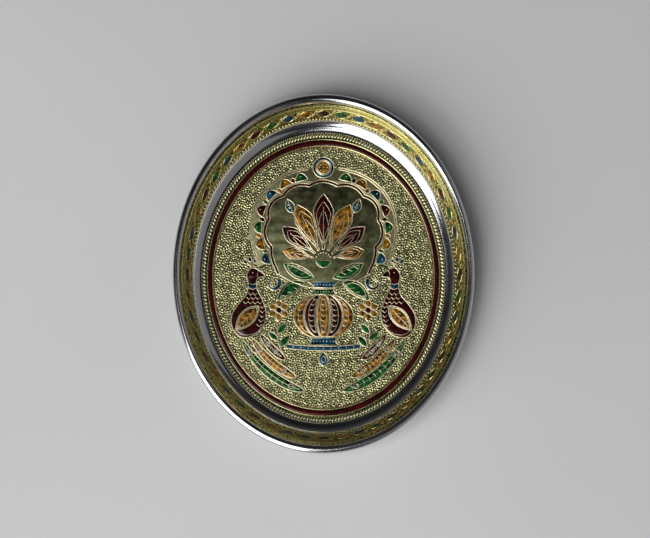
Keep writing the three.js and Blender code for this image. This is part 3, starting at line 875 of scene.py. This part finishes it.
def grain_height(x, y):
    """The punched ground's relief: even, short worms that run every way. Waves of nearly one length are
    added up, because the texture modifiers give patches of coarse and fine grain instead."""
    total = sum(math.cos(across * x + along * y + start) for across, along, start in grain_waves)
    return GRAIN_HEIGHT * math.tanh(GRAIN_CRISPNESS * total / math.sqrt(GRAIN_WAVES / 2) + GRAIN_BIAS)


def panel_ground(name, side):
    """Half of the panel's ground: a fine grid cut to the oval, with a wormy grain outside the arch."""
    begin()
    width, length = GROUND_RADIUS * OVAL, 2 * GROUND_RADIUS
    bpy.ops.mesh.primitive_grid_add(x_subdivisions=round(width / GRID_STEP),
                                    y_subdivisions=round(length / GRID_STEP),
                                    size=1, location=(side * width / 2 * MM, 0, GROUND * MM))
    bpy.context.active_object.scale = (width * MM, length * MM, 1)
    piece = settle(name)
    edit("DESELECT")
    mode("OBJECT")
    for face in piece.data.polygons:
        x, y = face.center.x / MM / OVAL, face.center.y / MM
        face.select = math.hypot(x, y) > GROUND_RADIUS
    mode("EDIT")
    bpy.ops.mesh.delete(type="FACE")
    bpy.ops.mesh.select_all(action="SELECT")
    bpy.ops.mesh.region_to_loop()
    bpy.ops.mesh.extrude_edges_move(TRANSFORM_OT_translate={"value": (0, 0, (PANEL_UNDER - GROUND) * MM)})
    bpy.ops.mesh.edge_face_add()
    bpy.ops.mesh.select_all(action="SELECT")
    bpy.ops.mesh.normals_make_consistent(inside=False)
    mode("OBJECT")
    for vertex in piece.data.vertices:
        x, y, z = vertex.co / MM
        if z > GROUND - SUNK and not in_field(x, y):
            vertex.co.z = (GROUND + GRAIN_BASE + grain_height(x, y)) * MM
    bpy.ops.object.shade_smooth()
    dress(piece, GRAINED)


# The design: domed fills, their gilt outlines, and the lines drawn on them

FILL_TOP = 1.68
FILL_EDGE = 0.16
OUTLINE_RADIUS = 0.37
VEIN_RADIUS = 0.2
SMALL_OUTLINE = 0.3
OUTLINE_SEAT = 0.22
SMALL_SEAT = 0.25
STEM_SEAT = 0.28
HEART_SEAT = 0.3
LAID_HEIGHTS = (FILL_TOP - 0.2, FILL_TOP + 0.12)
LAID_OUTLINE = 0.25
LAID_LINE_HEIGHT = FILL_TOP + 0.08
VASE_MIDDLE = (0, -23.8)
VASE_HALF = (18.5, 14)
VASE_GORES = (-0.78, -0.4, 0, 0.4, 0.78)
FLOWER_MIDDLE = (27.2, -20.2)
CROWN = (43.8, 5.6)
DOT_ROWS = ((4.6, -43.7, 1.4), (1.9, -4.6, 0), (2.0, -39.3, 0), (1.7, -8.9, 0))
DOT_PLACES = range(-4, 5)
DOT_SPREAD = 4.6
DOT_RADIUS = 0.42
PEACOCK_EYE = (43.0, 2.9)
ROSETTE_RADIUS = 2.3
ROSETTE_DOTS = 8
HEART_RADIUS = 4.6
HEART_BEADS = 7
HEART_START = 24
HEART_STEP = 22
HEART_BEAD = 0.62
LEAF_VEINS = (((5.6, -0.4), (24.4, 8.6), 0.9, 3, 2.2), ((11.4, -2.8), (28.4, -14.4), -1.4, 3, 2.2),
              ((18.8, 39.8), (22.2, 48.4), 0, 2, 1.2))
INSETS = (("vase_gore", 0.55, 0.8), ("tassel", 0.5, 0.5), ("lotus_petal", 0.72, 0.72), ("leaf_", 0.74, 0.7))
CHEVRONS = 7
CHEVRON_TOP = 0.7
CHEVRON_STEP = 0.233
CHEVRON_HALF = 1.5
CHEVRON_RISE = 1.0
DROP_REACH = (1.6, 5.4)
DROP_HALF = 1.35
DROP_COLOURS = ("green", "orange", "maroon")
STEM = ((24.6, -47.0), (27.2, -41.0), (28.0, -34.0), (27.4, -27.0))
BUD_STEM = ((14.4, 29.9), (16.2, 35.2), (18.8, 39.8))
SPRIG_LEAVES = (((26.6, -42.6), (20.6, -35.6), 1.9), ((27.6, -38.6), (33.8, -33.4), 1.7),
                ((28.0, -34.4), (22.4, -28.4), 1.8))
PETALS = 6
PETAL_TURN = 30
SPRIG_PETAL = (2.0, 6.6, 1.9)
SPRIG_HEART = 1.8
CREST_DROP = 1.2
COLLAR = ((40.7, -3.6), (43, -4.6), (45.7, -3.6), (45.9, -6.4), (43, -7.6), (40.7, -6.4))
BEAK = ((39.3, 4.2), (40.3, 2.2), (40.0, 0.2))
BREAST = ((37.2, -29), (40, -33.2), (44, -35), (49, -35.2), (52.8, -32.8))
WING = ((40.6, -18.6), (52.6, -31.4), 0, 4, 1.9)
SCALE_WIDTH = 2.6
SCALE_DROP = 1.5
SCALE_ROWS = ((-9.6, 40.4, 45.6), (-12.2, 38.6, 46.9), (-14.9, 37.2, 48.9), (-17.6, 36.3, 40.3),
              (-20.4, 35.8, 38.6), (-23.2, 35.9, 38.8), (-26.0, 36.3, 39.6), (-28.8, 37.4, 40.8))
CREST_SHARES = ((0.4, 0.55), (0.85, 0.85), (0.75, 0.75), (1.5, 1.45))
CREST = ((-1.9, 4.3), (0.9, 5.0), (3.5, 3.7))
LOTUS_CENTRE = (0, 10.7)
PETAL_FAN = 25.5
PETAL_REACH = (41, 38, 32.5, 25.5)
PETAL_WIDTH = (12.5, 11.6, 9.8, 8)
LOTUS_HEART = 6.5
VEIN_ROOM = 3
VEIN_ENDS = ((-1, 0.72), (0, 0.8), (1, 0.72))
VEIN_BOW = 0.24
VEIN_POINTS = 7
BOW_START = 0.1
RIB_SHARES = (0.1, 0.3, 0.5, 0.7, 0.88)
SIDE_VEIN = ((0.6, 0.75), (0.95, 1))
MEDALLION = (0, 67.75)
TAIL_OVAL = (65.2, 78.4)
EYE_IN = 8.5
SPINE_IN = 3
SPINE_POINTS = 12
BARB_AHEAD = 0.8
BARB_SPREAD = 0.5
EYE_SPREAD = 0.5
FEATHERS = ((0.905, 32.5, 79, 2.8), (0.82, 35.5, 72, 2.6), (0.735, 37, 61, 2.3))


def gilt_lines(name, loops, radius=VEIN_RADIUS, height=FILL_TOP, closed=False):
    """Raised gilt lines of the design."""
    dress(wires(name, loops, radius, height, closed), LINE_GILT)


def enamelled(name, colour, loops, bottom=GROUND, top=FILL_TOP):
    dress(pillow(name, outward(loops), FILL_EDGE, bottom, top), ENAMELS[colour])


def enamel_fills():
    for fill in fills:
        piece = pillow(fill.replace("enamel_", "fill_"), outlines[fill], FILL_EDGE, GROUND, FILL_TOP)
        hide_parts(fill)
        dress(piece, ENAMELS[colours[fill]])


def gilt_outlines(extra):
    loops = [loop for fill in fills for loop in outlines[fill]]
    gilt_lines("gilt_outlines", loops, OUTLINE_RADIUS, GROUND + OUTLINE_SEAT, closed=True)
    gilt_lines("arch_lines", extra, OUTLINE_RADIUS, GROUND + SMALL_SEAT)


def both(lines):
    """Lines of the right side, and their mirror images on the left."""
    return lines + [[(-x, y) for x, y in line] for line in lines]


def lotus_veins():
    """A midrib and two bowed veins on each petal."""
    root = LOTUS_HEART + VEIN_ROOM
    veins = []
    for i in range(-3, 4):
        reach, width = PETAL_REACH[abs(i)], PETAL_WIDTH[abs(i)]
        lean = math.radians(PETAL_FAN * i)
        along = Vector((math.sin(lean), math.cos(lean)))
        across = Vector((along.y, -along.x))
        for side, end in VEIN_ENDS:
            line = []
            for k in range(VEIN_POINTS):
                share = k / (VEIN_POINTS - 1)
                far = root + (reach * end - root) * share
                bow = side * width * VEIN_BOW * math.sin(math.pi * (BOW_START + (1 - 2 * BOW_START) * share))
                line.append(tuple(Vector(LOTUS_CENTRE) + far * along + bow * across))
            veins.append(line)
    return veins


def leaf_veins(base, tip, bow, pairs, splay):
    """A midrib with short slanting side veins."""
    base, tip = Vector(base), Vector(tip)
    across = (tip - base).normalized().orthogonal()
    rib = [base.lerp(tip, share) + across * bow * math.sin(math.pi * share) for share in RIB_SHARES]
    veins = [[tuple(point) for point in rib]]
    ahead = (tip - base).normalized() * splay
    for k in range(pairs):
        root = rib[min(k + 1, len(rib) - 1)]
        for side in (-1, 1):
            bends = [root + ahead * on + across * side * splay * out for on, out in SIDE_VEIN]
            veins.append([tuple(point) for point in (root, *bends)])
    return veins


def on_tail(share, angle):
    """A point of the right peacock's tail: a share of its oval, and an angle below the X axis."""
    return (share * TAIL_OVAL[0] * math.cos(angle), -share * TAIL_OVAL[1] * math.sin(angle))


def feather_veins():
    """A midrib with barbs on each tail feather of the right side."""
    veins = []
    for share, root, tip, half in FEATHERS:
        spine = []
        for k in range(SPINE_POINTS):
            angle = math.radians(root + SPINE_IN + (tip - root - 2 * SPINE_IN) * k / (SPINE_POINTS - 1))
            spine.append(Vector(on_tail(share, angle)))
        veins.append([tuple(point) for point in spine])
        for here, ahead in zip(spine[1:-1], spine[2:]):
            way = (ahead - here).normalized()
            across = Vector((-way.y, way.x))
            for side in (-1, 1):
                barb = here + way * BARB_AHEAD + across * side * half * BARB_SPREAD
                veins.append([tuple(here), tuple(barb)])
    return veins


def peacock_lines():
    """Beak, scale rows down neck and breast, breast line and wing barbs of the right peacock."""
    lines = [BEAK]
    for y, left, right in SCALE_ROWS:
        count = max(1, round((right - left) / SCALE_WIDTH))
        step = (right - left) / count
        for k in range(count):
            x = left + step * k
            lines.append([(x, y), (x + step / 2, y - SCALE_DROP), (x + step, y)])
    lines.append(BREAST)
    lines.extend(leaf_veins(*WING))
    return lines


def design_lines():
    veins = lotus_veins()
    for leaf_vein in LEAF_VEINS:
        veins += both(leaf_veins(*leaf_vein))
    gilt_lines("leaf_veins", veins)
    gilt_lines("vase_chevrons", vase_chevrons())
    gilt_lines("peacock_lines", both(peacock_lines() + feather_veins()))
    inner = []
    for fill in fills:
        for kind, share, share_y in INSETS:
            if kind in fill:
                inner.append(shrunk(outlines[fill][0], share, share_y))
    gilt_lines("inner_lines", inner, closed=True)


def vase_chevrons():
    """Rows of small chevrons down each gore of the vase."""
    lines = []
    for share in VASE_GORES:
        for k in range(CHEVRONS):
            y = VASE_MIDDLE[1] + VASE_HALF[1] * (CHEVRON_TOP - CHEVRON_STEP * k)
            full = math.sqrt(1 - ((y - VASE_MIDDLE[1]) / VASE_HALF[1]) ** 2)
            x = VASE_MIDDLE[0] + VASE_HALF[0] * share * full
            half = CHEVRON_HALF * full
            lines.append([(x - half, y + CHEVRON_RISE), (x, y), (x + half, y + CHEVRON_RISE)])
    return lines


def small_fills(name, colour, loops):
    """Small enamel fills with gilt outlines."""
    enamelled(f"{name}_{colour}", colour, loops)
    gilt_lines(f"{name}_{colour}_outlines", loops, SMALL_OUTLINE, GROUND + SMALL_SEAT, closed=True)


def between_scallops():
    """A small pointed drop between each two scallops."""
    drops = {colour: [] for colour in DROP_COLOURS}
    for side in ("left", "right"):
        middles = [middle(outlines[f"enamel_scallop_{side}_{k}"][0]) for k in range(1, 8)]
        for k, (here, ahead) in enumerate(zip(middles, middles[1:])):
            angle, _ = bearing(*middle([here, ahead]))
            reach = arch_reaches[ARCH_STEP * round(angle / ARCH_STEP)]
            base, tip = (from_middle(angle, reach + room) for room in DROP_REACH)
            drops[DROP_COLOURS[k % len(DROP_COLOURS)]].append(leaf_loop(base, tip, DROP_HALF))
    for colour, loops in drops.items():
        small_fills("arch_drops", colour, loops)


def sprigs():
    """A flowering sprig on each side of the vase, and the peacocks' crests."""
    small_fills("sprig_leaves", "green", both([leaf_loop(*leaf_shape) for leaf_shape in SPRIG_LEAVES]))
    heart = Vector(FLOWER_MIDDLE)
    near, far, half = SPRIG_PETAL
    petals = []
    for k in range(PETALS):
        way = Vector(on_circle((0, 0), 1, 360 / PETALS * k + PETAL_TURN))
        petals.append(leaf_loop(heart + way * near, heart + way * far, half))
    small_fills("sprig_petals", "orange", both(petals))
    small_fills("sprig_hearts", "maroon", both([round_loop(*FLOWER_MIDDLE, SPRIG_HEART)]))
    x, y = CROWN
    stems = [STEM]
    drops = []
    for dx, dy in CREST:
        bend, end, base, tip = [(x + dx * out, y + dy * up) for out, up in CREST_SHARES]
        stems.append([CROWN, bend, end])
        drops.append(leaf_loop(base, tip, CREST_DROP))
    small_fills("crest_drops", "blue", both(drops))
    stems.append(BUD_STEM)
    gilt_lines("stems", both(stems), SMALL_OUTLINE, GROUND + STEM_SEAT)


def laid_over(name, loops):
    """Small blue fills laid over larger ones, with gilt outlines."""
    enamelled(f"{name}s", "blue", loops, *LAID_HEIGHTS)
    gilt_lines(f"{name}_outlines", loops, LAID_OUTLINE, LAID_LINE_HEIGHT, closed=True)


def feather_eyes():
    """A round blue eye near both ends of each tail feather."""
    eyes = []
    for share, root, tip, half in FEATHERS:
        for angle in (root + EYE_IN, tip - EYE_IN):
            eyes.append(round_loop(*on_tail(share, math.radians(angle)), EYE_SPREAD * half, points=8))
    laid_over("feather_eye", both(eyes))


def design_dots():
    points = [middle(outlines[fill][0]) for fill in fills if "scallop" in fill or "vase_gore" in fill]
    for k in DOT_PLACES:
        for step, height, rise in DOT_ROWS:
            points.append((k * step, height + rise * (k / DOT_SPREAD) ** 2))
    for k in range(ROSETTE_DOTS):
        points.append(on_circle(MEDALLION, ROSETTE_RADIUS, 360 / ROSETTE_DOTS * k))
    points.append(MEDALLION)
    points += [(side * PEACOCK_EYE[0], PEACOCK_EYE[1]) for side in (-1, 1)]
    dots("gilt_dots", points, DOT_RADIUS, FILL_TOP)
    points = []
    for k in range(HEART_BEADS):
        points.append(on_circle(LOTUS_CENTRE, HEART_RADIUS, HEART_START + HEART_STEP * k))
    dots("heart_beads", points, HEART_BEAD, GROUND + HEART_SEAT)


# The wall band: sheet, bead row, cells of enamel and the leaves between them

BAND_STEPS = ((2.35, 0), (2.6, 0.2), (2.85, 0), (10.6, 0), (10.9, 0.3), (11.3, 0.3), (11.5, 0.05),
              (11.8, 0.28), (13.2, 0.38), (14.4, 0.32), (14.6, 0.05), (14.8, 0.3))
BAND_LIP = (0.4, 0.25)
BAND_BEAD_SIZE = (1.5, 1.55, 1.1)
BAND_BEAD_UP = 1.3
CELL_LENGTH = 9.0
CELL_HEIGHT = 5.9
CELL_RISE = 1.1
CELL_FULLNESS = 0.72
CELL_RIM = 0.3
RIM_POINTS = 24
CELL_SEAT = 0.1
RIM_SEAT = 0.12
LEAF_SEAT = 0.02
LEAF_FAN = ((-1.5, 1.9, 1.2, 3.6), (0.0, 0.4, 1.25, 6.2), (1.5, -1.5, 1.3, 3.6))
LEAF_WIDTH = 1.15


def band_sheet():
    section = [on_wall(BAND_FOOT, BAND_UNDER), on_wall(BAND_FOOT, BAND_FACE)]
    section += [on_wall(up, BAND_FACE + off) for up, off in BAND_STEPS]
    section += [on_wall(band_top - BAND_LIP[0], BAND_FACE + BAND_LIP[1]), on_wall(band_top, BAND_FACE)]
    section += [on_wall(band_top, BAND_UNDER), on_wall(BAND_FOOT, BAND_UNDER)]
    sheet = turned("band_sheet", section)
    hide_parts("wall_band")
    dress(sheet, GOLD)


def band_beads():
    bead(BAND_BEAD_SIZE)
    beads = laid("band_beads", on_wall(BAND_BEAD_UP, BAND_FACE + CELL_SEAT), tilt=wall)
    dress(ringed(beads, SMALL_PARTS), BEAD_GOLD)


def band_cells():
    """Leaf-shaped drops of enamel, each in a gilt rim, in turn maroon, orange, blue and green."""
    for i, colour in enumerate(("maroon", "orange", "blue", "green")):
        leaf(CELL_LENGTH, CELL_HEIGHT, CELL_RISE, sides=16, steps=12, fullness=CELL_FULLNESS)
        drops = laid(f"cells_{colour}", on_wall(cell_up, BAND_FACE + CELL_SEAT), tilt=wall,
                     around=2 * math.pi * i / CELL_COUNT)
        dress(ringed(drops, CELL_COUNT // 4), ENAMELS[colour])
    rim = []
    for k in range(RIM_POINTS):
        along = math.cos(2 * math.pi * k / RIM_POINTS)
        side = 1 if k < RIM_POINTS / 2 else -1
        across = side * (1 - along * along) ** CELL_FULLNESS
        rim.append((across * (CELL_HEIGHT / 2 + CELL_RIM), along * (CELL_LENGTH / 2 + CELL_RIM)))
    wires("rim", [rim], CELL_RIM, 0, closed=True)
    rims = laid("cell_rims", on_wall(cell_up, BAND_FACE + RIM_SEAT), tilt=wall)
    dress(ringed(rims, CELL_COUNT), BEAD_GOLD)


def band_leaves():
    """Slim raised leaves, fanned and slanted, between each two cells."""
    leaves = []
    for shift, rise, slant, size in LEAF_FAN:
        leaf(size, LEAF_WIDTH, CELL_RISE)
        piece = laid("leaf", on_wall(cell_up + rise, BAND_FACE + LEAF_SEAT), tilt=wall, slant=slant)
        piece.location.y = shift * MM
        leaves.append(settle("leaf"))
    fan = joined("band_leaves", leaves)
    fan.rotation_euler.z = math.pi / CELL_COUNT
    settle("band_leaves")
    dress(ringed(fan, CELL_COUNT), BEAD_GOLD)


def glue_films():
    for film in ("panel_adhesive", "band_adhesive"):
        for slot in frame["nodes"][film].material_slots:
            slot.material = GLUE


# Studio: a pale floor, soft lamps and the camera of the photograph

FLOOR_SIZE = 8
FLOOR_SIDES = 96
CAMERA_DISTANCE = 3.0
CAMERA_ELEVATION = 82
PIXEL_SIZE = 0.605
IMAGE_WIDTH = 650
IMAGE_HEIGHT = 538
RIM_CENTRE_PX = (323.5, 272.5)
KEY_RADIANCE = 3.5
LAMPS = (("key_low", 228, 27, 3.0, (3.4, 2.1), KEY_RADIANCE),
         ("key_middle", 226, 56, 2.6, (1.75, 1.24), KEY_RADIANCE),
         ("key_high", 217, 74, 2.6, (1.1, 0.8), KEY_RADIANCE),
         ("side_softbox", -10, 24, 2.6, (4.2, 6.4), 0.22))
SKY = ((0.1, (0.085, 0.085, 0.088)), (0.75, (0.015, 0.015, 0.0155)))


def floor():
    begin()
    bpy.ops.mesh.primitive_circle_add(vertices=FLOOR_SIDES, radius=FLOOR_SIZE / 2, fill_type="NGON")
    piece = settle("studio_floor")
    finish = Finish("studio_paper", 0.0, 0.75)
    finish.base(finish.grain(300, 2), (0.60, 0.60, 0.60), (0.66, 0.66, 0.66), start=0.2, end=0.8)
    piece.data.materials.append(finish.material)


def lamp(name, azimuth, elevation, distance, size, radiance):
    """A soft lamp that faces the plate. Its power follows from how bright its face is."""
    data = bpy.data.lights.new(name, "AREA")
    data.shape = "RECTANGLE"
    data.size, data.size_y = size
    data.energy = radiance * math.pi * size[0] * size[1]
    piece = placed(name, data)
    turn, lift = math.radians(azimuth), math.radians(elevation)
    way = Vector((math.cos(lift) * math.cos(turn), math.cos(lift) * math.sin(turn), math.sin(lift)))
    piece.location = way * distance
    piece.rotation_euler = way.to_track_quat("Z", "Y").to_euler()
    piece.visible_camera = False


def studio():
    world = bpy.data.worlds.new("studio")
    world.use_nodes = True
    tree = world.node_tree
    place = tree.nodes.new("ShaderNodeTexCoord")
    split = tree.nodes.new("ShaderNodeSeparateXYZ")
    tree.links.new(place.outputs["Generated"], split.inputs["Vector"])
    tree.links.new(ramp(tree, split.outputs["Z"], SKY), tree.nodes["Background"].inputs["Color"])
    bpy.context.scene.world = world
    for settings in LAMPS:
        lamp(*settings)


def camera():
    data = bpy.data.cameras.new("camera")
    piece = placed("camera", data)
    bpy.context.scene.camera = piece
    data.sensor_width = 36
    data.lens = data.sensor_width * CAMERA_DISTANCE / (IMAGE_WIDTH * PIXEL_SIZE * MM)
    elevation = math.radians(CAMERA_ELEVATION)
    back = Vector((0, -math.cos(elevation), math.sin(elevation)))
    up = Vector((0, math.sin(elevation), math.cos(elevation)))
    right_by = (IMAGE_WIDTH / 2 - RIM_CENTRE_PX[0]) * PIXEL_SIZE * MM
    up_by = (RIM_CENTRE_PX[1] - IMAGE_HEIGHT / 2) * PIXEL_SIZE * MM
    target = Vector((right_by, 0, dish_high.z)) + up * up_by
    piece.location = target + back * CAMERA_DISTANCE
    piece.rotation_euler = back.to_track_quat("Z", "Y").to_euler()


dish_shell()
panel_rings()
rope_border()
ring_enamel()
worn_line()
panel_ground("ground_left", -1)
panel_ground("ground_right", 1)
swag_line = arch_field()
enamel_fills()
gilt_outlines([swag_line, *ridge_lines()])
design_lines()
design_dots()
between_scallops()
sprigs()
laid_over("peacock_collar", both([COLLAR]))
feather_eyes()
band_sheet()
band_beads()
band_cells()
band_leaves()
glue_films()
floor()
studio()
camera()
bpy.context.scene.view_settings.view_transform = "Standard"
